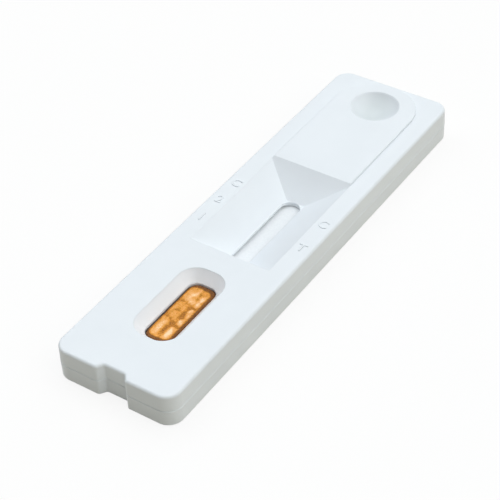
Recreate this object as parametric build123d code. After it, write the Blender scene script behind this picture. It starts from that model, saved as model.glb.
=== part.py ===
from build123d import *
import math
import os

# Lateral flow test cassette, in millimetres.
# X runs along the device from the notched sample end to the grip end, Z is up,
# and the origin is on the table under the middle of the housing.

# Housing envelope
body_length = 70.0
body_width = 18.5
body_height = 5.1
parting_height = 2.6
corner_radius = 2.2
side_draft = 1.0
top_edge_radius = 0.4
base_edge_bevel = 0.25
seam_chamfer = 0.1

# Housing walls
wall = 1.2
top_plate = 1.1
floor_plate = 1.0
inner_corner_radius = 0.4

# Notch in the sample end
notch_depth = 1.0
notch_root_width = 3.2
notch_mouth_width = 4.6
notch_corner_radius = 0.5

# Raised arched panel and thumb dimple at the grip end
panel_height = 0.3
panel_half_width = 6.35
panel_end_margin = 0.55
panel_edge_radius = 0.15
dimple_end_distance = 6.15
dimple_diameter = 7.2
dimple_depth = 1.4
dimple_wall = 0.7

# Sample well, a round-cornered opening with a bevelled mouth above a thin lip
well_end_distance = 8.9
well_length = 11.7
well_width = 4.3
well_corner_radius = 1.45
well_bevel_run = 1.3
well_lip_height = 0.4
well_lip_wall = 0.9
well_pad_gap = 0.2

# Result window, a slot at the bottom of a hopper
well_to_window = 6.2
window_length = 15.2
window_width = 2.85
window_lip_height = 0.25
window_pad_gap = 0.15
hopper_near_run = 1.0
hopper_far_run = 4.0
hopper_end_wall = 0.9

# Test strip
strip_width = 4.0
strip_end_margin = 3.6
strip_lift = 0.3
card_thickness = 0.2
membrane_thickness = 0.15
conjugate_thickness = 0.3
sample_thickness = 1.1
absorbent_thickness = 0.9
pad_overlap = 1.5
pad_ramp = 0.4
membrane_past_window = 6.0
conjugate_short_of_window = 0.3
conjugate_under_well = 3.2
sample_past_well = 1.4

# Swollen middle of the sample pad, which stands up into the well
swell_gap = 0.2
swell_recess = 0.14
swell_bevel = 0.15

# Strip channel in the lower housing
rail_thickness = 0.8
channel_clearance = 0.15
stop_clearance = 0.1
support_bar_width = 1.2
support_bar_pitch = 7.5

# Pressure bars under the upper housing
press_bar_width = 0.8
press_gap = 0.05

# Pins of the upper housing and their six-sided sockets in the lower one
pin_diameter = 1.6
pin_fit = 0.03
pin_tip_gap = 0.2
boss_diameter = 3.0
boss_wall_gap = 0.35
pin_end_distance = 5.0
socket_sides = 6

# Depth by which a rib or boss is rooted in the plate that carries it
root = 0.3

# Clear travel of a cutting shape past the face it leaves by
cut_past = 1.0

# Levels of the strip, built up from the tray floor
strip_seat = floor_plate + strip_lift
card_top = strip_seat + card_thickness
membrane_top = card_top + membrane_thickness
conjugate_top = card_top + conjugate_thickness
sample_top = card_top + sample_thickness
sample_lap_top = conjugate_top + sample_thickness
absorbent_top = card_top + absorbent_thickness
absorbent_lap_top = membrane_top + absorbent_thickness
rail_top = membrane_top

# Levels of the upper housing
panel_top = body_height + panel_height
plate_under = body_height - top_plate
window_lip_bottom = membrane_top + conjugate_thickness + window_pad_gap
window_rim = window_lip_bottom + window_lip_height
well_lip_bottom = sample_lap_top + well_pad_gap
well_rim = well_lip_bottom + well_lip_height

# Stations along X
near_end = -body_length / 2
far_end = body_length / 2
well_near = near_end + well_end_distance
well_far = well_near + well_length
well_center = (well_near + well_far) / 2
window_near = well_far + well_to_window
window_far = window_near + window_length
window_center = (window_near + window_far) / 2
arch_center = far_end - panel_end_margin - panel_half_width
dimple_center = far_end - dimple_end_distance
strip_near = near_end + strip_end_margin
strip_far = far_end - strip_end_margin
sample_far = well_far + sample_past_well
conjugate_near = well_far - conjugate_under_well
conjugate_far = window_near - conjugate_short_of_window
membrane_near = conjugate_far - pad_overlap
membrane_far = window_far + membrane_past_window
absorbent_near = membrane_far - pad_overlap

# Stations across Y
channel_half = strip_width / 2 + channel_clearance
rail_half = channel_half + rail_thickness
pin_offset = body_width / 2 - wall - boss_wall_gap - boss_diameter / 2

# Plan positions of the pins: a pair near each end and a pair beside the window
pin_stations = [near_end + pin_end_distance, window_center, far_end - pin_end_distance]
pin_places = [(x, side * pin_offset) for x in pin_stations for side in (-1, 1)]


def body_plan(inset):
    """Plan of the housing at the parting plane, moved inwards by inset."""
    radius = max(corner_radius - inset, inner_corner_radius)
    return RectangleRounded(body_length - 2 * inset, body_width - 2 * inset, radius)


def notch_plan(inset):
    """Plan of the notch in the sample end, grown by inset into the housing."""
    flare = (notch_mouth_width - notch_root_width) / 2 / notch_depth
    side_shift = inset * math.hypot(1, flare)
    root_x = near_end + notch_depth + inset
    mouth_x = near_end - cut_past
    root_half = notch_root_width / 2 + side_shift - flare * inset
    mouth_half = notch_root_width / 2 + side_shift + flare * (notch_depth + cut_past)
    corners = [(mouth_x, -mouth_half), (root_x, -root_half), (root_x, root_half), (mouth_x, mouth_half)]
    return make_face(Polyline(*corners, close=True))


def is_notch_corner(edge):
    """True for the four upright edges of the notch."""
    rises = abs((edge @ 0).Z - (edge @ 1).Z) > parting_height / 2
    middle = edge.center()
    return rises and abs(middle.Y) < notch_mouth_width and middle.X < near_end + notch_depth + cut_past


def drafted_block(height, direction):
    """Half of the housing's outer form, drafted from the parting plane along Z, with its notch."""
    plan = Pos(0, 0, parting_height) * body_plan(0)
    block = extrude(plan, height, dir=(0, 0, direction), taper=side_draft)
    notch_bottom = Pos(0, 0, -cut_past)
    block -= extrude(notch_bottom * notch_plan(0), body_height + 2 * cut_past)
    return fillet(block.edges().filter_by(is_notch_corner), notch_corner_radius)


def hollow_plan():
    """Plan of the space inside the walls."""
    return body_plan(wall) - notch_plan(wall)


def frustum(low, high, low_z, high_z):
    """Solid between two rectangles, each given as (near x, far x, half width)."""
    low_near, low_far, low_half = low
    high_near, high_far, high_half = high
    shape = Wedge(
        low_far - low_near,
        high_z - low_z,
        2 * low_half,
        high_near - low_near,
        low_half - high_half,
        high_far - low_near,
        low_half + high_half,
        align=None,
    )
    return Pos(low_near, low_half, low_z) * Rot(X=90) * shape


def block_between(near, far, half_width, bottom, top):
    """Upright block across the strip, between two stations and two levels."""
    middle = Pos((near + far) / 2, 0, (bottom + top) / 2)
    return middle * Box(far - near, 2 * half_width, top - bottom)


def cross_bar(x, width, half_width, bottom, top):
    """Rib across the strip at one station."""
    return block_between(x - width / 2, x + width / 2, half_width, bottom, top)


def post(x, y, diameter, bottom, top):
    """Round upright between two levels."""
    return Pos(x, y, (bottom + top) / 2) * Cylinder(diameter / 2, top - bottom)


def socket_bore(x, y):
    """Six-sided blind hole whose flats grip the pin."""
    flat_distance = pin_diameter / 2 + pin_fit
    plan = RegularPolygon(flat_distance, socket_sides, major_radius=False)
    return extrude(Pos(x, y, floor_plate) * plan, parting_height - floor_plate + cut_past)


def hopper_section(z):
    """Inside of the hopper at one level. Its walls run straight from the slot's rim to the top face."""
    rise = (z - window_rim) / (body_height - window_rim)
    near = window_near - hopper_near_run * rise
    far = window_far + hopper_far_run * rise
    half = window_width / 2 + (panel_half_width - window_width / 2) * rise
    return near, far, half


def hopper_backing(z):
    """Outside of the hopper at one level: slopes a plate's thickness lower, near end a wall further out."""
    near = hopper_section(z)[0] - hopper_end_wall
    far, half = hopper_section(z + top_plate)[1:]
    return near, far, half


def well_plan(grow):
    """Plan of the sample well's rim, moved outwards by grow."""
    return RectangleRounded(well_length + 2 * grow, well_width + 2 * grow, well_corner_radius + grow)


def dimple_ball(extra):
    """Ball that presses the thumb dimple into the panel, made larger by extra."""
    ball_radius = ((dimple_diameter / 2) ** 2 + dimple_depth**2) / (2 * dimple_depth)
    return Pos(dimple_center, 0, panel_top - dimple_depth + ball_radius) * Sphere(ball_radius + extra)


def arched_panel():
    """Raised panel with a straight edge at the hopper and a half-round end at the grip."""
    straight_length = arch_center - window_far
    straight = Pos(arch_center - straight_length / 2, 0) * Rectangle(straight_length, 2 * panel_half_width)
    plan = straight + Pos(arch_center, 0) * Circle(panel_half_width)
    panel = extrude(Pos(0, 0, body_height - root) * plan, panel_height + root)
    return fillet(panel.faces().sort_by(Axis.Z)[-1].edges(), panel_edge_radius)


def upper_housing():
    shell = drafted_block(body_height - parting_height, 1)
    shell = fillet(shell.faces().sort_by(Axis.Z)[-1].edges(), top_edge_radius)
    shell = chamfer(shell.faces().sort_by(Axis.Z)[0].edges(), seam_chamfer)
    hollow_bottom = parting_height - cut_past
    shell -= extrude(Pos(0, 0, hollow_bottom) * hollow_plan(), plate_under - hollow_bottom)
    shell += arched_panel()

    # Material behind the hopper, the well and the dimple
    rooted = plate_under + root
    hopper_low = hopper_backing(window_lip_bottom)
    shell += frustum(hopper_low, hopper_backing(plate_under), window_lip_bottom, plate_under)
    lip = Pos(well_center, 0, well_lip_bottom) * well_plan(well_lip_wall)
    shell += extrude(lip, rooted - well_lip_bottom)
    shell += post(dimple_center, 0, dimple_diameter, parting_height, panel_top) & dimple_ball(dimple_wall)

    # Bars that press the strip's layers together
    bars = [
        ((strip_near + well_near - well_lip_wall) / 2, sample_top),
        ((sample_far + membrane_near - pad_ramp) / 2, conjugate_top),
        ((absorbent_near + membrane_far) / 2, absorbent_lap_top),
        ((membrane_far + strip_far) / 2, absorbent_top),
    ]
    for bar_x, layer_top in bars:
        shell += cross_bar(bar_x, press_bar_width, rail_half, layer_top + press_gap, rooted)

    # Pins, each on a boss that meets its socket at the parting plane
    for pin_x, pin_y in pin_places:
        shell += post(pin_x, pin_y, boss_diameter, parting_height, rooted)
        shell += post(pin_x, pin_y, pin_diameter, floor_plate + pin_tip_gap, parting_height)

    # Hopper and its slot
    cut_top = panel_top + cut_past
    shell -= frustum(hopper_section(window_rim), hopper_section(cut_top), window_rim, cut_top)
    slot_bottom = window_lip_bottom - cut_past
    slot = Pos(window_center, 0, slot_bottom) * SlotOverall(window_length, window_width)
    shell -= extrude(slot, window_rim + cut_past - slot_bottom)

    # Sample well and its bevelled mouth
    well_bottom = well_lip_bottom - cut_past
    shell -= extrude(Pos(well_center, 0, well_bottom) * well_plan(0), well_rim - well_bottom)
    bevel_angle = math.degrees(math.atan2(well_bevel_run, body_height - well_rim))
    shell -= extrude(Pos(well_center, 0, well_rim) * well_plan(0), cut_top - well_rim, taper=-bevel_angle)

    return shell - dimple_ball(0)


def lower_housing():
    tray = drafted_block(parting_height, -1)
    tray = chamfer(tray.faces().sort_by(Axis.Z)[0].edges(), base_edge_bevel)
    tray = chamfer(tray.faces().sort_by(Axis.Z)[-1].edges(), seam_chamfer)
    tray -= extrude(Pos(0, 0, floor_plate) * hollow_plan(), parting_height - floor_plate + cut_past)

    # Channel that holds the strip: two rails and a stop at each end
    rooted = floor_plate - root
    stop_near = strip_near - stop_clearance
    stop_far = strip_far + stop_clearance
    outer_near = stop_near - rail_thickness
    outer_far = stop_far + rail_thickness
    channel = block_between(outer_near, outer_far, rail_half, rooted, rail_top)
    tray += channel - block_between(stop_near, stop_far, channel_half, floor_plate, rail_top)

    # Bars that lift the strip off the floor
    bar_count = int((strip_far - strip_near) // support_bar_pitch) + 1
    first_bar = (strip_near + strip_far) / 2 - (bar_count - 1) * support_bar_pitch / 2
    for number in range(bar_count):
        bar_x = first_bar + number * support_bar_pitch
        tray += cross_bar(bar_x, support_bar_width, channel_half + rail_thickness / 2, rooted, strip_seat)

    # Sockets for the pins
    for pin_x, pin_y in pin_places:
        tray += post(pin_x, pin_y, boss_diameter, rooted, parting_height)
        tray -= socket_bore(pin_x, pin_y)
    return tray


def strip_layer(profile):
    """Layer of the strip: a side profile of (x, z) points carried across the strip's width."""
    points = [(x, 0, z) for x, z in profile]
    side = make_face(Polyline(*points, close=True))
    return extrude(side, strip_width / 2, dir=(0, 1, 0), both=True)


def flat_layer(near, far, bottom, thickness):
    """Layer that lies flat all along."""
    top = bottom + thickness
    return strip_layer([(near, bottom), (far, bottom), (far, top), (near, top)])


def stepped_layer(free_end, step, lap_end, low, high, thickness):
    """Layer that lies on one level and climbs at the step to lap over its neighbour."""
    ramp_start = step - math.copysign(pad_ramp, lap_end - free_end)
    underside = [(free_end, low), (step, low), (step, high), (lap_end, high)]
    upper_side = [
        (lap_end, high + thickness),
        (step, high + thickness),
        (ramp_start, low + thickness),
        (free_end, low + thickness),
    ]
    return strip_layer(underside + upper_side)


def conjugate_pad():
    return stepped_layer(
        conjugate_near, membrane_near, conjugate_far, card_top, membrane_top, conjugate_thickness
    )


def sample_pad():
    layer = stepped_layer(strip_near, conjugate_near, sample_far, card_top, conjugate_top, sample_thickness)
    swell_bottom = sample_top - root
    swell_plan = Pos(well_center, 0, swell_bottom) * well_plan(-swell_gap)
    swell = extrude(swell_plan, well_rim - swell_recess - swell_bottom)
    return layer + chamfer(swell.faces().sort_by(Axis.Z)[-1].edges(), swell_bevel)


def absorbent_pad():
    return stepped_layer(
        strip_far, membrane_far, absorbent_near, card_top, membrane_top, absorbent_thickness
    )


parts = {
    "upper_housing": upper_housing(),
    "lower_housing": lower_housing(),
    "backing_card": flat_layer(strip_near, strip_far, strip_seat, card_thickness),
    "membrane": flat_layer(membrane_near, membrane_far, card_top, membrane_thickness),
    "conjugate_pad": conjugate_pad(),
    "sample_pad": sample_pad(),
    "absorbent_pad": absorbent_pad(),
}

os.makedirs("parts", exist_ok=True)
for name, shape in parts.items():
    export_step(shape, f"parts/{name}.step")
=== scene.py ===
import math
from collections import namedtuple

import bmesh
import bpy
from mathutils import Matrix, Quaternion, Vector, noise


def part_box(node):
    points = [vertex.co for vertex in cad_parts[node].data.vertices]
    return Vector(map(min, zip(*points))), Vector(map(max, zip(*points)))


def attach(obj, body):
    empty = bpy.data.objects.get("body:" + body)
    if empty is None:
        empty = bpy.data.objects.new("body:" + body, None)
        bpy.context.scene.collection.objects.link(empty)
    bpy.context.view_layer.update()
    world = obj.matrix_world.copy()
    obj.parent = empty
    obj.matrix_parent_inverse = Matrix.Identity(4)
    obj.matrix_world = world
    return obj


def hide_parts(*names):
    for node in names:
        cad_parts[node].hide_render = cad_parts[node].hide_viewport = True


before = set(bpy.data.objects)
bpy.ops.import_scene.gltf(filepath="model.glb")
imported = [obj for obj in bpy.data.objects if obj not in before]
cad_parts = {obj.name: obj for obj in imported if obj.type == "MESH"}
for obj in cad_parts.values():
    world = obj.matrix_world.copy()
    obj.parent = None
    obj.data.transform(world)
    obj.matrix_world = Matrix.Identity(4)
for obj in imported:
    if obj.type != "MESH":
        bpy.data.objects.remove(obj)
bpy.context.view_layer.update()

# One millimetre in scene units, and how close points at one place lie, in millimetres
MM = 0.001
SAME_PLACE = 0.01


def solid_points(node):
    """Corners of a CAD solid's facets."""
    return [vert.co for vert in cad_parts[node].data.vertices]


# Levels of the upper housing, in millimetres: the raised panel, the top face at the sample end and the slot
PANEL_TOP = max(point.z for point in solid_points("upper_housing")) / MM
TOP_FACE = max(point.z for point in solid_points("upper_housing") if point.x < 0.0) / MM
SLOT_RIM = 2.35

# Slot of the result window, in millimetres
SLOT_CENTRE = (-0.6, 0.0)
SLOT_LENGTH = 15.2
SLOT_WIDTH = 2.85
SLOT_LIP = 0.25

# Zones of the housing with another tint, in millimetres, each with its core as a share of its half size:
# painted shade that greys the dimple, and painted light that brightens the sample well and the window slot
Zone = namedtuple("Zone", "centre half_size core rim tint")
DIMPLE_PAINTED_SHADE = Zone((28.85, 0.0), (5.2, 3.9), core=0.3, rim=PANEL_TOP, tint=(0.77, 0.79, 0.775))
WELL_PAINTED_LIGHT = Zone((-20.25, 0.0), (10.0, 5.0), core=0.9, rim=TOP_FACE, tint=(1.10, 1.08, 1.07))
SLOT_PAINTED_LIGHT = Zone(SLOT_CENTRE, (9.6, 3.2), core=0.9, rim=SLOT_RIM, tint=(1.08, 1.06, 1.03))

# How far under its rim a zone's tint begins and is full, in millimetres
FIRST_DEPTH = 0.02
FULL_DEPTH = 0.2

# Skirt under the slot's lip, in millimetres
SKIRT_WALL = 0.22
SKIRT_SET_BACK = 0.01
SKIRT_ROOT = 0.1
SKIRT_END_GAP = 0.06
SKIRT_SIDE_GAP = 0.34
SKIRT_SEGMENTS = 98

# Marks beside the window, in millimetres, and the size of a font whose capitals are one high
WINDOW_MARKS_Y = 7.55
LEFT_MARKS = (("C", 3.7), ("2", -0.4), ("1", -4.75))
RIGHT_MARKS = (("C", 2.25), ("T", -3.25))
MARK_HEIGHT = 1.5
MARK_RELIEF = 0.09
MARK_ROUNDING = 0.02
MARK_SUNK = 0.02
FONT_SIZE = 1.4

# Finishes: how far edges look rounded, in millimetres, and the colours along each ramp
EDGE_ROUNDING = 0.1
WHITE_PLASTIC = ((0.3, (0.806, 0.853, 0.905)), (0.7, (0.832, 0.879, 0.930)))
WHITE_CARD = ((0.3, (0.83, 0.83, 0.81)), (0.7, (0.87, 0.87, 0.86)))
WHITE_MEMBRANE = ((0.3, (0.83, 0.865, 0.905)), (0.7, (0.89, 0.92, 0.955)))
PINK_FELT = ((0.2, (0.78, 0.50, 0.47)), (0.8, (0.64, 0.32, 0.31)))
WHITE_FELT = ((0.2, (0.86, 0.85, 0.82)), (0.8, (0.78, 0.77, 0.73)))
# The darkest stops of the orange felt also carry the painted shade of its edge ring and creases
ORANGE_FELT = (
    (0.0, (1.0, 0.72, 0.44)),
    (0.25, (0.93, 0.50, 0.20)),
    (0.53, (0.80, 0.345, 0.06)),
    (0.75, (0.52, 0.20, 0.028)),
    (1.0, (0.18, 0.072, 0.024)),
)

# Noise stays mostly between these values
NOISE_LOW = 0.3
NOISE_HIGH = 0.7

# Felt, in millimetres, and how soaked it is where nothing changes it, from 0 to 1
FELT_CELL = 0.09
FELT_BEND = 0.4
FELT_SHOULDER = 0.25
FELT_DROP = 0.125
EVEN_SOAK = 0.5

# Strands of the felt: how many ways they are laid, and their sizes in millimetres
STRAND_WAYS = 5
STRAND_UNEVENNESS = 0.3
STRAND_LENGTH = 1.6
STRAND_WIDTH = 0.16
STRAND_DEPTH = 0.05
STRAND_LAYER_STEP = 7.3

# Mottling of the dry pads: size in millimetres, change of soak and layer of the noise
MOTTLE_SIZE = 0.9
MOTTLE_SOAK = 0.4
MOTTLE_LAYER = 5.3

# Blotches of the sample pad, and how far its creases and patches wander, in the same way
BLOTCH_LENGTH = 0.7
BLOTCH_WIDTH = 0.5
BLOTCH_SOAK = 0.2
BLOTCH_LAYER = 3.1
WANDER_SIZE = 0.8
WANDER_ALONG = 0.3
WANDER_ALONG_LAYER = 9.7
WANDER_ACROSS = 0.2
WANDER_ACROSS_LAYER = 4.2
MOST_SOAK = 0.8

# Creases of the sample pad, in millimetres, with painted shade along them
PAD_CREASES = (
    ((-18.15, 1.8), (-18.45, 0.3), (-18.8, -1.5)),
    ((-21.1, 1.8), (-21.7, 0.8), (-22.5, -0.3), (-22.7, -1.4)),
    ((-24.9, 0.25), (-23.4, 0.05), (-21.4, -0.3), (-19.0, -0.4)),
)
CREASE_REACH = 0.26
CREASE_DEPTH = 0.1
CREASE_PAINTED_SHADE = 0.2

# Soaked and pale patches of the sample pad: place, half length, half width, and how much more soaked
PAD_PATCHES = (
    (-23.4, 0.1, 0.95, 0.36, 0.26),
    (-20.3, -0.45, 1.3, 0.25, 0.2),
    (-17.1, -0.35, 0.3, 0.28, 0.25),
    (-16.15, -0.35, 0.35, 0.3, 0.25),
    (-22.5, -0.75, 0.3, 0.4, 0.35),
    (-20.75, -0.8, 0.35, 0.4, 0.35),
    (-18.75, -0.8, 0.3, 0.45, 0.45),
    (-20.0, 0.85, 0.28, 0.5, 0.25),
    (-24.0, -0.8, 1.1, 0.38, -0.6),
    (-23.6, 0.95, 1.1, 0.36, -0.45),
    (-21.6, -0.85, 0.5, 0.38, -0.6),
    (-20.3, -1.1, 0.5, 0.32, -0.4),
    (-19.2, -0.95, 0.42, 0.36, -0.4),
    (-17.9, -1.05, 0.38, 0.34, -0.45),
    (-16.9, -0.95, 0.42, 0.34, -0.6),
    (-17.8, 0.05, 0.4, 0.45, -0.35),
    (-16.4, 0.3, 0.4, 0.35, -0.35),
    (-17.0, 0.7, 0.9, 0.6, -0.26),
)

# Part of the sample pad that swells up into the well, and the ring of painted shade at its edge, where the
# rim shades the pad, in millimetres
SWELL_CORNER = 1.25
SWELL_SPREAD = 0.12
SWELL_SHOULDER = 0.25
RING_DARK_LEFT = 0.12
RING_DARK_RIGHT = 0.4
RING_DARK_ENDS = 0.62
RING_END_REACH = 1.6
RING_FADE = 0.45

# Camera, in millimetres and degrees
CAMERA_PLACE = Vector((-132.75, -92.95, 139.98))
CAMERA_AIM = Vector((-2.3, 1.5, 0.0))
CAMERA_LENS = 112.0
CAMERA_ROLL = 3.24
CAMERA_CLIP = 1.0

# Lights: name, where from, strength and colour
LIGHTS = (
    ("far_light", (0.64, 0.0, 0.77), 1.0, (0.95, 0.985, 1.0)),
    ("left_light", (0.0, 0.64, 0.77), 1.24, (0.95, 0.985, 1.0)),
    ("right_light", (0.0, -0.64, 0.77), 1.52, (0.98, 0.985, 0.95)),
)
LIGHT_SPREAD = 60.0
SKY_STRENGTH = 0.04

# Floor: how it looks, what light it gives back, half its size in metres and its drop in millimetres
FLOOR_WHITE = (0.98, 0.98, 0.98, 1.0)
FLOOR_BOUNCE = (0.64, 0.60, 0.49, 1.0)
FLOOR_GLOW = 0.85
FLOOR_HALF_SIZE = 6.0
FLOOR_DROP = 0.02


# Object helpers

def add_object(name, data, material=None):
    """Puts new data in the scene, at the origin, with a material if it is a mesh."""
    if material is not None:
        data.materials.clear()
        data.materials.append(material)
    item = bpy.data.objects.new(name, data)
    bpy.context.scene.collection.objects.link(item)
    return item


def add_mesh(name, mesh, material):
    """Puts a bmesh in the scene as an object, and frees it."""
    data = bpy.data.meshes.new(name)
    mesh.to_mesh(data)
    mesh.free()
    return add_object(name, data, material)


def only_verts(geometry):
    """The vertices in what a bmesh operator returns."""
    return [part for part in geometry if isinstance(part, bmesh.types.BMVert)]


# Node helpers

def add_node(tree, kind, inputs=None, **settings):
    """Adds a shader node, sets its properties, and sets or links its inputs."""
    node = tree.nodes.new(kind)
    for key, value in settings.items():
        setattr(node, key, value)
    for socket, value in (inputs or {}).items():
        if isinstance(value, bpy.types.NodeSocket):
            tree.links.new(value, node.inputs[socket])
        else:
            node.inputs[socket].default_value = value
    return node


def calculate(tree, operation, first, second):
    """The result of one operation on two numbers."""
    return add_node(tree, "ShaderNodeMath", {0: first, 1: second}, operation=operation).outputs["Value"]


def calculate_vector(tree, operation, first, second):
    """The result of one operation on two vectors."""
    node = add_node(tree, "ShaderNodeVectorMath", {0: first, 1: second}, operation=operation)
    return node.outputs["Vector"]


def map_range(tree, value, from_min=0.0, from_max=1.0, to_min=0.0, to_max=1.0):
    """A value mapped from one range to another, and kept inside it."""
    ends = {"From Min": from_min, "From Max": from_max, "To Min": to_min, "To Max": to_max}
    return add_node(tree, "ShaderNodeMapRange", {"Value": value, **ends}).outputs["Result"]


def spread_noise(tree, value, low, high):
    """Noise spread from low to high."""
    return map_range(tree, value, from_min=NOISE_LOW, from_max=NOISE_HIGH, to_min=low, to_max=high)


def surface_material(name):
    """A new material, with its node tree, its shader and the object's own coordinates."""
    material = bpy.data.materials.new(name)
    material.use_nodes = True
    tree = material.node_tree
    shader = tree.nodes["Principled BSDF"]
    coordinates = add_node(tree, "ShaderNodeTexCoord").outputs["Object"]
    return material, tree, shader, coordinates


def speckle(tree, coordinates, size_mm, detail=2.0, roughness=0.5):
    """Noise whose blotches are about the given size across."""
    texture = add_node(
        tree, "ShaderNodeTexNoise",
        {"Vector": coordinates, "Scale": 1.0 / (size_mm * MM), "Detail": detail, "Roughness": roughness},
    )
    return texture.outputs["Fac"]


def blend_colours(tree, factor, stops):
    """A colour ramp through (position, colour) stops."""
    ramp = add_node(tree, "ShaderNodeValToRGB", {"Fac": factor})
    elements = ramp.color_ramp.elements
    while len(elements) < len(stops):
        elements.new(0.5)
    for element, (position, colour) in zip(elements, stops):
        element.position = position
        element.color = (*colour, 1.0)
    return ramp.outputs["Color"]


def zone_share(tree, coordinates, zone):
    """1 in the core of an oval zone under its rim, fading to 0 at the zone's edge and at the rim."""
    origin = (zone.centre[0] * MM, zone.centre[1] * MM, 0.0)
    shares = (1.0 / (zone.half_size[0] * MM), 1.0 / (zone.half_size[1] * MM), 0.0)
    offset = calculate_vector(tree, "SUBTRACT", coordinates, origin)
    scaled = calculate_vector(tree, "MULTIPLY", offset, shares)
    distance = add_node(tree, "ShaderNodeVectorMath", {0: scaled}, operation="LENGTH").outputs["Value"]
    inside = map_range(tree, distance, from_min=1.0, from_max=zone.core)
    level = add_node(tree, "ShaderNodeSeparateXYZ", {0: coordinates}).outputs["Z"]
    first_level = (zone.rim - FIRST_DEPTH) * MM
    full_level = (zone.rim - FULL_DEPTH) * MM
    sunk = map_range(tree, level, from_min=first_level, from_max=full_level)
    return calculate(tree, "MULTIPLY", inside, sunk)


def tinted(tree, colour, share, tint):
    """A colour multiplied by a share of a tint."""
    inputs = {"Factor": share, "A": colour, "B": (*tint, 1.0)}
    mix = add_node(tree, "ShaderNodeMix", inputs, data_type="RGBA", blend_type="MULTIPLY")
    return mix.outputs["Result"]


def relief(tree, height, depth_mm, strength, under=None):
    """A bump of the given depth over another normal."""
    inputs = {"Height": height, "Distance": depth_mm * MM, "Strength": strength}
    if under is not None:
        inputs["Normal"] = under
    return add_node(tree, "ShaderNodeBump", inputs).outputs["Normal"]


def seen_share(tree):
    """1 for rays that show a surface, straight, mirrored or through glass, and 0 for its bounced light."""
    path = add_node(tree, "ShaderNodeLightPath").outputs
    seen = path["Is Camera Ray"]
    for kind in ("Is Glossy Ray", "Is Transmission Ray"):
        seen = calculate(tree, "MAXIMUM", seen, path[kind])
    return seen


# Materials

def moulded_white():
    """Satin white moulded plastic with softened edges and a fine spark-eroded grain.

    It has painted shade that greys the dimple, and painted light that brightens the well and the slot."""
    material, tree, shader, place = surface_material("moulded_white")
    cloud = speckle(tree, place, size_mm=9.0, detail=3.0, roughness=0.55)
    tone = blend_colours(tree, cloud, WHITE_PLASTIC)
    # Painted shade in the dimple, painted light in the sample well and the window slot
    for zone in (DIMPLE_PAINTED_SHADE, WELL_PAINTED_LIGHT, SLOT_PAINTED_LIGHT):
        tone = tinted(tree, tone, zone_share(tree, place, zone), zone.tint)
    tree.links.new(tone, shader.inputs["Base Color"])
    polish = spread_noise(tree, speckle(tree, place, size_mm=1.6, detail=3.0), low=0.36, high=0.46)
    tree.links.new(polish, shader.inputs["Roughness"])
    shader.inputs["IOR"].default_value = 1.5
    edges = add_node(tree, "ShaderNodeBevel", {"Radius": EDGE_ROUNDING * MM}, samples=6).outputs["Normal"]
    waves = speckle(tree, place, size_mm=2.4, detail=1.0)
    flow = relief(tree, waves, depth_mm=0.012, strength=0.35, under=edges)
    grain = relief(tree, speckle(tree, place, size_mm=0.11), depth_mm=0.006, strength=0.35, under=flow)
    tree.links.new(grain, shader.inputs["Normal"])
    return material


def card_film():
    """Smooth white plastic card under the strip."""
    material, tree, shader, place = surface_material("card_film")
    tone = blend_colours(tree, speckle(tree, place, size_mm=4.0), WHITE_CARD)
    tree.links.new(tone, shader.inputs["Base Color"])
    gloss = spread_noise(tree, speckle(tree, place, size_mm=0.8), low=0.2, high=0.3)
    tree.links.new(gloss, shader.inputs["Roughness"])
    waves = relief(tree, speckle(tree, place, size_mm=1.5), depth_mm=0.006, strength=0.3)
    tree.links.new(waves, shader.inputs["Normal"])
    return material


def porous_membrane():
    """Matt white membrane with a fine chalky grain."""
    material, tree, shader, place = surface_material("porous_membrane")
    chalk = speckle(tree, place, size_mm=0.35, detail=4.0, roughness=0.65)
    tree.links.new(blend_colours(tree, chalk, WHITE_MEMBRANE), shader.inputs["Base Color"])
    shader.inputs["Roughness"].default_value = 0.85
    shader.inputs["Specular IOR Level"].default_value = 0.25
    pores = relief(tree, speckle(tree, place, size_mm=0.06), depth_mm=0.01, strength=0.5)
    tree.links.new(pores, shader.inputs["Normal"])
    return material


def felted_fibre(name, stops):
    """Felted fibre: colours by how soaked the felt is and by painted shade, with fine strands."""
    material, tree, shader, place = surface_material(name)
    soak_and_shade = add_node(tree, "ShaderNodeAttribute", attribute_name="soak_and_shade").outputs["Fac"]
    flecks = speckle(tree, place, size_mm=0.22, detail=3.0, roughness=0.6)
    mottled = calculate(tree, "ADD", soak_and_shade, spread_noise(tree, flecks, low=-0.16, high=0.16))
    tree.links.new(blend_colours(tree, mottled, stops), shader.inputs["Base Color"])
    shader.inputs["Roughness"].default_value = 0.9
    shader.inputs["Specular IOR Level"].default_value = 0.2
    shader.inputs["Sheen Weight"].default_value = 0.08
    shader.inputs["Sheen Roughness"].default_value = 0.5
    strands = relief(tree, speckle(tree, place, size_mm=0.05), depth_mm=0.02, strength=0.6)
    tree.links.new(strands, shader.inputs["Normal"])
    return material


# Fibre pads

def smooth_step(value):
    """0 up to 0, 1 from 1 on, and a smooth rise between."""
    value = min(max(value, 0.0), 1.0)
    return value * value * (3.0 - 2.0 * value)


def unevenness(x, y, length, width, layer):
    """Smooth noise about 0 at a place, with blotches of the given length and width."""
    return noise.noise(Vector((x / length, y / width, layer)))


def strand_height(x, y, seed):
    """Height of the felted strands at a place in millimetres, from 0 to 1: ridges laid several ways."""
    height = 0.0
    for way in range(STRAND_WAYS):
        angle = math.pi * (way + STRAND_UNEVENNESS * math.sin(seed + way)) / STRAND_WAYS
        along = x * math.cos(angle) + y * math.sin(angle)
        across = y * math.cos(angle) - x * math.sin(angle)
        layer = seed + STRAND_LAYER_STEP * way
        height = max(height, unevenness(along, across, STRAND_LENGTH, STRAND_WIDTH, layer))
    return min(height, 1.0)


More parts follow.
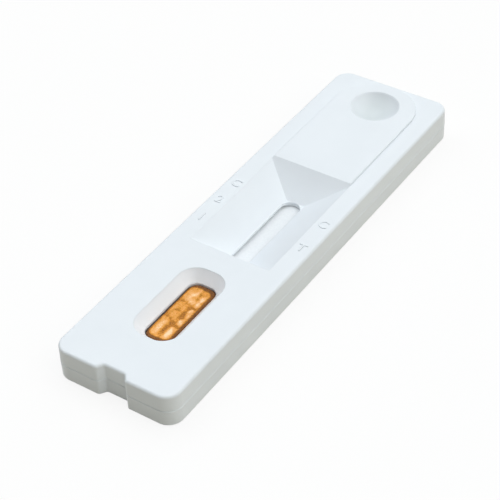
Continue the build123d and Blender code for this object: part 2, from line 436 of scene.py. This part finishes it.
def distance_to_line(x, y, points):
    """Distance from a place to a bent line through the points."""
    place = Vector((x, y))
    nearest = math.inf
    for start, end in zip(points, points[1:]):
        start = Vector(start)
        run = Vector(end) - start
        share = min(max((place - start).dot(run) / run.length_squared, 0.0), 1.0)
        nearest = min(nearest, (place - start - run * share).length)
    return nearest


def end_levels(node, x):
    """Bottom and top of a pad at one of its ends."""
    levels = [point.z for point in solid_points(node) if abs(point.x - x) < SAME_PLACE * MM]
    return min(levels), max(levels)


class Swell:
    """The part of a pad that stands up into the sample well, found from its CAD solid."""

    def __init__(self, node, above):
        points = [point for point in solid_points(node) if point.z > above]
        self.top = max(point.z for point in points)
        low = Vector((min(point.x for point in points), min(point.y for point in points)))
        high = Vector((max(point.x for point in points), max(point.y for point in points)))
        self.centre = (low + high) / 2
        self.half = (high - low) / 2 + Vector((SWELL_SPREAD, SWELL_SPREAD)) * MM
        self.corner = (SWELL_CORNER + SWELL_SPREAD) * MM

    def inside(self, x, y):
        """Distance from the edge inwards, negative outside."""
        along = abs(x - self.centre.x) - self.half.x + self.corner
        across = abs(y - self.centre.y) - self.half.y + self.corner
        outer = math.hypot(max(along, 0.0), max(across, 0.0))
        return self.corner - outer - min(max(along, across), 0.0)

    def ring(self, x, y):
        """Share of the ring of painted shade at the edge: full at the edge, and wider at the ends."""
        end = smooth_step((abs(x - self.centre.x) - self.half.x) / (RING_END_REACH * MM) + 1.0)
        side = RING_DARK_LEFT if y > self.centre.y else RING_DARK_RIGHT
        dark = side + (RING_DARK_ENDS - side) * end
        return 1.0 - smooth_step((self.inside(x, y) / MM - dark) / RING_FADE)

    def rise(self, x, y):
        """Share of the full height, over a rounded shoulder."""
        share = min(max(self.inside(x, y) / (SWELL_SHOULDER * MM), 0.0), 1.0)
        return math.sqrt(1.0 - (1.0 - share) ** 2)


def felt_block(low, high):
    """A closed block over a pad's plan, finely divided: its bmesh, its layer of soak and painted shade,
    upper and lower points.
    """
    centre = (low + high) / 2
    span = high - low
    place = Matrix.Translation((centre.x, centre.y, low.z)) @ Matrix.Diagonal((span.x, span.y, 1.0, 1.0))
    columns = round(span.x / (FELT_CELL * MM))
    rows = round(span.y / (FELT_CELL * MM))
    mesh = bmesh.new()
    bmesh.ops.create_grid(mesh, x_segments=columns, y_segments=rows, size=0.5, matrix=place)
    soak_and_shade = mesh.verts.layers.float.new("soak_and_shade")
    upper = list(mesh.verts)
    lower = only_verts(bmesh.ops.extrude_face_region(mesh, geom=list(mesh.faces))["geom"])
    return mesh, soak_and_shade, upper, lower


def felt_pad(name, node, material, step_x, surface, seed, swell=None):
    """A felted pad in the place of its CAD solid, bent up over the layer that it overlaps.

    surface(x, y) gives how deep the felt is creased, in millimetres, and how soaked it is, with painted
    shade in its creases, from 0 to 1."""
    low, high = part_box(node)
    near_bottom, near_top = end_levels(node, low.x)
    far_bottom, far_top = end_levels(node, high.x)
    climb = 1.0 if far_bottom > near_bottom else -1.0
    free_bottom, lap_bottom = sorted((near_bottom, far_bottom))
    free_top, lap_top = sorted((near_top, far_top))
    bend = FELT_BEND * MM
    mesh, soak_and_shade, upper, lower = felt_block(low, high)
    for vert in lower:
        past = (vert.co.x - step_x) * climb
        vert.co.z = lap_bottom if past > -FELT_CELL * MM else free_bottom
        vert[soak_and_shade] = EVEN_SOAK
    for vert in upper:
        x, y = vert.co.x, vert.co.y
        past = (x - step_x) * climb
        level = free_top + (lap_top - free_top) * smooth_step((past + bend) / bend)
        crease, soak_and_shade_level = surface(x / MM, y / MM)
        if swell is not None:
            level += (swell.top - level) * swell.rise(x, y)
            # Painted shade: a dark ring along the edge of the swell, under the well's rim
            soak_and_shade_level += (1.0 - soak_and_shade_level) * swell.ring(x, y)
        edge = min(x - low.x, high.x - x, y - low.y, high.y - y) / (FELT_SHOULDER * MM)
        round_off = FELT_DROP * (1.0 - smooth_step(edge)) ** 2
        strands = STRAND_DEPTH * (1.0 - strand_height(x / MM, y / MM, seed))
        vert.co.z = level - (strands + crease + round_off) * MM
        vert[soak_and_shade] = soak_and_shade_level
    bmesh.ops.recalc_face_normals(mesh, faces=list(mesh.faces))
    for face in mesh.faces:
        face.smooth = True
    pad = add_mesh(name, mesh, material)
    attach(pad, "root")
    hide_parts(node)


def sample_surface(x, y):
    """Creases of the sample pad with painted shade along them, and where the liquid has left it pale, deep
    orange or brown.
    """
    crease = 0.0
    soak_and_shade_level = EVEN_SOAK + BLOTCH_SOAK * unevenness(x, y, BLOTCH_LENGTH, BLOTCH_WIDTH, BLOTCH_LAYER)
    wander_x = WANDER_ALONG * unevenness(x, y, WANDER_SIZE, WANDER_SIZE, WANDER_ALONG_LAYER)
    wander_y = WANDER_ACROSS * unevenness(x, y, WANDER_SIZE, WANDER_SIZE, WANDER_ACROSS_LAYER)
    for line in PAD_CREASES:
        distance = distance_to_line(x + wander_x, y + wander_y, line)
        near = math.exp(-((distance / CREASE_REACH) ** 2))
        crease = max(crease, CREASE_DEPTH * near)
        # Painted shade along the crease
        soak_and_shade_level += CREASE_PAINTED_SHADE * near
    for patch_x, patch_y, half_length, half_width, change in PAD_PATCHES:
        off = math.hypot((x + wander_x - patch_x) / half_length, (y + wander_y - patch_y) / half_width)
        soak_and_shade_level += change * math.exp(-off * off)
    return crease, min(max(soak_and_shade_level, 0.0), MOST_SOAK)


def plain_surface(x, y):
    """Dry felt: no creases, an even tone with a little mottling."""
    return 0.0, EVEN_SOAK + MOTTLE_SOAK * unevenness(x, y, MOTTLE_SIZE, MOTTLE_SIZE, MOTTLE_LAYER)


def strip_pads():
    """The three felted pads of the strip."""
    membrane_low, membrane_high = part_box("membrane")
    conjugate_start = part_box("conjugate_pad")[0].x
    lap_top = end_levels("sample_pad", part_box("sample_pad")[1].x)[1]
    swell = Swell("sample_pad", lap_top + SAME_PLACE * MM)
    orange = felted_fibre("orange_felt", ORANGE_FELT)
    pink = felted_fibre("pink_felt", PINK_FELT)
    white = felted_fibre("white_felt", WHITE_FELT)
    felt_pad(
        "sample_pad_felt", "sample_pad", orange,
        step_x=conjugate_start, surface=sample_surface, seed=1.0, swell=swell,
    )
    felt_pad(
        "conjugate_pad_felt", "conjugate_pad", pink,
        step_x=membrane_low.x, surface=plain_surface, seed=2.0,
    )
    felt_pad(
        "absorbent_pad_felt", "absorbent_pad", white,
        step_x=membrane_high.x, surface=plain_surface, seed=3.0,
    )


# Details of the upper housing

def slot_loop(mesh, grow):
    """Outline of the slot about the origin, moved outwards by grow."""
    radius = (SLOT_WIDTH / 2 + grow) * MM
    half_run = (SLOT_LENGTH - SLOT_WIDTH) / 2 * MM
    loop = bmesh.ops.create_circle(mesh, segments=SKIRT_SEGMENTS, radius=radius)["verts"]
    bmesh.ops.rotate(mesh, verts=loop, matrix=Matrix.Rotation(math.pi / SKIRT_SEGMENTS, 3, "Z"))
    for vert in loop:
        vert.co.x += math.copysign(half_run, vert.co.x)


def window_skirt(material):
    """Thin skirt by which the lip of the result window reaches down to the membrane, lowest at its ends."""
    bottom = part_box("membrane")[1].z + SKIRT_END_GAP * MM
    top = (SLOT_RIM - SLOT_LIP + SKIRT_ROOT) * MM
    mesh = bmesh.new()
    slot_loop(mesh, SKIRT_SET_BACK)
    slot_loop(mesh, SKIRT_SET_BACK + SKIRT_WALL)
    bmesh.ops.bridge_loops(mesh, edges=list(mesh.edges))
    lower = list(mesh.verts)
    place = (SLOT_CENTRE[0] * MM, SLOT_CENTRE[1] * MM, bottom)
    bmesh.ops.translate(mesh, verts=lower, vec=place)
    upper = only_verts(bmesh.ops.extrude_face_region(mesh, geom=list(mesh.faces))["geom"])
    bmesh.ops.translate(mesh, verts=upper, vec=(0.0, 0.0, top - bottom))
    for vert in lower:
        side = min(abs(vert.co.y) / (SLOT_WIDTH / 2 * MM), 1.0)
        vert.co.z += (SKIRT_SIDE_GAP - SKIRT_END_GAP) * MM * side**3
    bmesh.ops.recalc_face_normals(mesh, faces=list(mesh.faces))
    skirt = add_mesh("window_skirt", mesh, material)
    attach(skirt, "root")


def raised_mark(name, text, x, y, material):
    """One moulded character that reads from the sample end, standing just proud of the top face."""
    curve = bpy.data.curves.new(name, "FONT")
    curve.body = text
    curve.align_x = "CENTER"
    curve.align_y = "CENTER"
    curve.size = MARK_HEIGHT * MM * FONT_SIZE
    curve.extrude = (MARK_RELIEF + MARK_SUNK) * MM / 2 - MARK_ROUNDING * MM
    curve.bevel_depth = MARK_ROUNDING * MM
    curve.bevel_resolution = 1
    curve.resolution_u = 6
    writing = add_object(name, curve)
    bpy.context.view_layer.update()
    data = bpy.data.meshes.new_from_object(writing.evaluated_get(bpy.context.evaluated_depsgraph_get()))
    bpy.data.objects.remove(writing)
    level = TOP_FACE + (MARK_RELIEF - MARK_SUNK) / 2
    place = Matrix.Translation(Vector((x, y, level)) * MM)
    data.transform(place @ Matrix.Rotation(-math.pi / 2, 4, "Z"))
    data.name = name
    mark = add_object(name, data, material)
    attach(mark, "root")


def window_marks(material):
    """The marks on both sides of the window, on the top face."""
    for side, marks, y in (("left", LEFT_MARKS, WINDOW_MARKS_Y), ("right", RIGHT_MARKS, -WINDOW_MARKS_Y)):
        for text, x in marks:
            raised_mark(f"{side}_mark_{text}", text, x, y, material)


# Stage

def white_floor():
    """A white floor that keeps part of the object's shadow."""
    material = bpy.data.materials.new("white_floor")
    material.use_nodes = True
    tree = material.node_tree
    tree.nodes.remove(tree.nodes["Principled BSDF"])
    seen = seen_share(tree)
    colours = {"Factor": seen, "A": FLOOR_BOUNCE, "B": FLOOR_WHITE}
    tone = add_node(tree, "ShaderNodeMix", colours, data_type="RGBA").outputs["Result"]
    matt = add_node(tree, "ShaderNodeBsdfDiffuse", {"Color": tone}).outputs["BSDF"]
    glow = add_node(tree, "ShaderNodeEmission", {"Strength": 1.0}).outputs["Emission"]
    share = calculate(tree, "MULTIPLY", seen, FLOOR_GLOW)
    mixed = add_node(tree, "ShaderNodeMixShader", {0: share, 1: matt, 2: glow}).outputs["Shader"]
    tree.links.new(mixed, tree.nodes["Material Output"].inputs["Surface"])
    mesh = bmesh.new()
    bmesh.ops.create_grid(mesh, x_segments=1, y_segments=1, size=FLOOR_HALF_SIZE)
    floor = add_mesh("floor", mesh, material)
    floor.location.z = -FLOOR_DROP * MM


def soft_light(name, source, strength, colour):
    """A broad soft light from one direction."""
    lamp = bpy.data.lights.new(name, "SUN")
    lamp.energy = strength
    lamp.angle = math.radians(LIGHT_SPREAD)
    lamp.color = colour
    holder = add_object(name, lamp)
    holder.rotation_mode = "QUATERNION"
    holder.rotation_quaternion = Vector(source).to_track_quat("Z", "Y")


def white_surround():
    """A world that looks white and adds only a little light."""
    world = bpy.data.worlds.new("surround")
    world.use_nodes = True
    tree = world.node_tree
    level = map_range(tree, seen_share(tree), to_min=SKY_STRENGTH, to_max=1.0)
    backdrop = tree.nodes["Background"]
    backdrop.inputs["Color"].default_value = (1.0, 1.0, 1.0, 1.0)
    tree.links.new(level, backdrop.inputs["Strength"])
    bpy.context.scene.world = world


def photo_camera():
    """A camera at the photograph's viewing angle."""
    lens = bpy.data.cameras.new("camera")
    lens.lens = CAMERA_LENS
    lens.clip_start = CAMERA_CLIP * MM
    camera = add_object("camera", lens)
    camera.location = CAMERA_PLACE * MM
    camera.rotation_mode = "QUATERNION"
    level = (CAMERA_AIM - CAMERA_PLACE).to_track_quat("-Z", "Y")
    camera.rotation_quaternion = level @ Quaternion((0.0, 0.0, 1.0), math.radians(-CAMERA_ROLL))
    bpy.context.scene.camera = camera


# The object

white_plastic = moulded_white()
finishes = {
    "upper_housing": white_plastic,
    "lower_housing": white_plastic,
    "backing_card": card_film(),
    "membrane": porous_membrane(),
}
for node_name, finish in finishes.items():
    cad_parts[node_name].material_slots[0].material = finish

strip_pads()
window_skirt(white_plastic)
window_marks(white_plastic)

# The stage

white_floor()
white_surround()
for light in LIGHTS:
    soft_light(*light)
photo_camera()
bpy.context.scene.view_settings.view_transform = "Standard"
